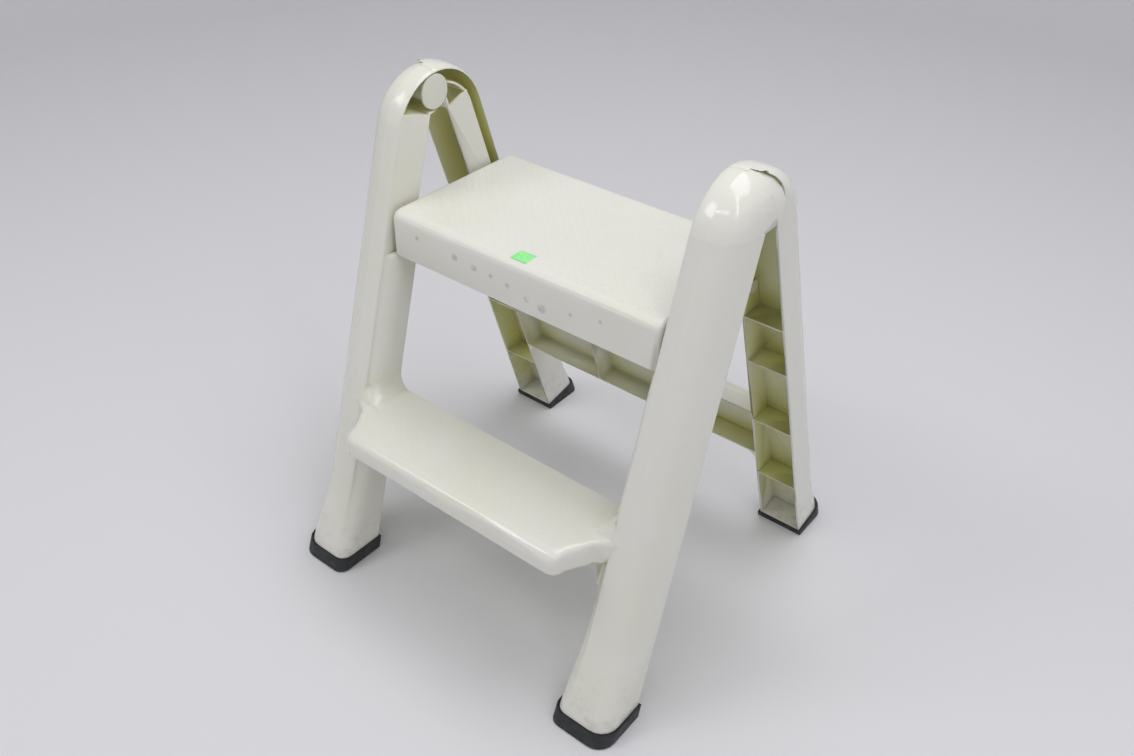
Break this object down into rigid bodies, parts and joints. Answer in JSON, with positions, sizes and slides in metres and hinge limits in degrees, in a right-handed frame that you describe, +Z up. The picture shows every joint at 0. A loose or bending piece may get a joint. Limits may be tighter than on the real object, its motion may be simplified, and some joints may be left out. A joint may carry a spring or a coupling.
{
  "type": "folding step stool",
  "caption": "Folding moulded-plastic step stool with a broad seat on top, a lower step between the front legs, arched hinge joints and rubber-capped feet.",
  "frame": {"origin": "middle of the open stool's footprint, on the floor", "axes": "+Z up, +X across the seat, the front with the lower step towards -Y"},
  "size_m": [0.5376, 0.5503, 0.642],
  "materials": {
    "frame_plastic": "aged cream moulded plastic, soft gloss",
    "seat_plastic": "cream moulded plastic with a fine raised tread",
    "plug_plastic": "satin",
    "foot_rubber": "dark grey, matte"
  },
  "bodies": {
    "front": {"front_frame": "frame_plastic", "hinge_plug_right": "plug_plastic", "hinge_plug_left": "plug_plastic", "front_pad_right": "foot_rubber", "front_pad_left": "foot_rubber"},
    "rear": {"rear_frame": "frame_plastic", "seat_pin_right": "plug_plastic", "seat_pin_left": "plug_plastic", "rear_pad_right": "foot_rubber", "rear_pad_left": "foot_rubber"},
    "seat": {"seat_panel": "seat_plastic"}
  },
  "joints": [
    {"name": "frame_fold", "type": "hinge", "parent": "front", "child": "rear", "pos_m": [0, -0.02062, 0.6135], "axis": [-1, 0, 0], "range_deg": [0, 35.5]},
    {"name": "seat_fold", "type": "hinge", "parent": "rear", "child": "seat", "pos_m": [0, 0.0644, 0.462], "axis": [-1, 0, 0], "range_deg": [0, 71]}
  ],
  "couplings": [
    {"joint": "seat_fold", "follows": "frame_fold", "ratio": 2}
  ]
}
